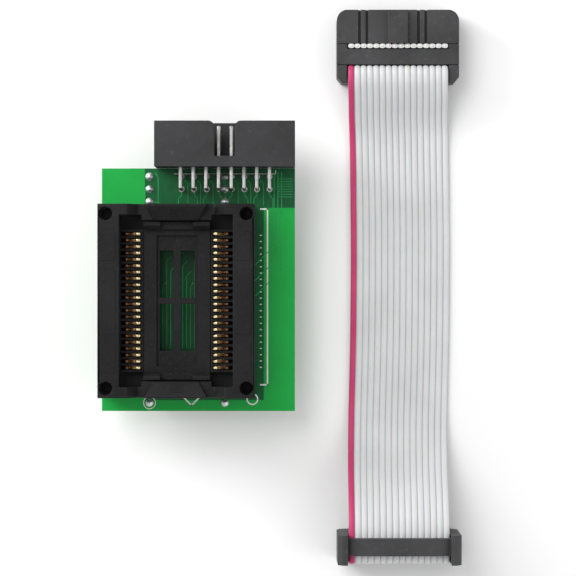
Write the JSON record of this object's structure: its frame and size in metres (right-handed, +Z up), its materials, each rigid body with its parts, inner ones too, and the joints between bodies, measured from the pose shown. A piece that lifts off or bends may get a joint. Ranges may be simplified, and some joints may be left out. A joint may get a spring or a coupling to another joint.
{
  "type": "programming adapter",
  "caption": "Adapter board with a press-to-open socket for a wide surface-mount chip, a shrouded side header, plug-in pins below, and a loose flat ribbon lead with a plug at each end.",
  "frame": {"origin": "middle of the adapter's outline, board and header without the loose lead, at the tips of the plug-in pins", "axes": "+X across the board towards the header's flush end, +Y out of the header's mouth, +Z up out of the chip socket"},
  "size_m": [0.0724, 0.1125, 0.0221],
  "materials": {
    "solder_mask": "glossy green solder mask over glass-epoxy board",
    "pin_strip_plastic": "matt black moulded plastic",
    "socket_plastic": "matt black glass-filled plastic",
    "header_plastic": "satin black moulded plastic",
    "plug_plastic": "satin dark grey moulded plastic",
    "contact_gold": "gold-plated spring alloy",
    "tinned_metal": "bright tin plate",
    "spring_steel": "drawn spring wire",
    "ribbon_vinyl": "satin grey vinyl, ribbed, with a pink first wire"
  },
  "bodies": {
    "adapter": {"circuit_board": "solder_mask", "pin_strip_left": "pin_strip_plastic", "pin_strip_right": "pin_strip_plastic", "plug_in_pins_left": "contact_gold", "plug_in_pins_right": "contact_gold", "pin_solder_joints": "tinned_metal", "tail_solder_joints": "tinned_metal", "socket_base": "socket_plastic", "device_nest": "socket_plastic", "contact_comb_left": "socket_plastic", "contact_comb_right": "socket_plastic", "contact_tails_left": "contact_gold", "contact_tails_right": "contact_gold", "cover_springs": "spring_steel", "header_shell": "header_plastic", "header_pins_upper": "tinned_metal", "header_pins_lower": "tinned_metal", "ribbon_cable": "ribbon_vinyl", "plug_a_body": "plug_plastic", "plug_a_cover": "plug_plastic", "plug_a_relief": "plug_plastic", "plug_a_contacts": "contact_gold", "plug_b_body": "plug_plastic", "plug_b_cover": "plug_plastic", "plug_b_relief": "plug_plastic", "plug_b_contacts": "contact_gold"},
    "cover": {"socket_cover": "socket_plastic"},
    "arms_left": {"contact_arms_left": "contact_gold"},
    "arms_right": {"contact_arms_right": "contact_gold"}
  },
  "joints": [
    {"name": "cover_press", "type": "slide", "parent": "adapter", "child": "cover", "axis": [0, 0, -1], "range_m": [0, 0.0025], "stiffness_N_per_m": 300, "springref_m": -0.002, "deforming": ["cover_springs"]},
    {"name": "left_contacts_open", "type": "hinge", "parent": "adapter", "child": "arms_left", "pos_m": [-0.0138, -0.00675, 0.0131], "axis": [0, -1, 0], "range_deg": [0, 10.5]},
    {"name": "right_contacts_open", "type": "hinge", "parent": "adapter", "child": "arms_right", "pos_m": [0.0058, -0.00675, 0.0131], "axis": [0, 1, 0], "range_deg": [0, 10.5]}
  ],
  "couplings": [
    {"joint": "left_contacts_open", "follows": "cover_press", "rad_per_m": 72},
    {"joint": "right_contacts_open", "follows": "cover_press", "rad_per_m": 72}
  ]
}
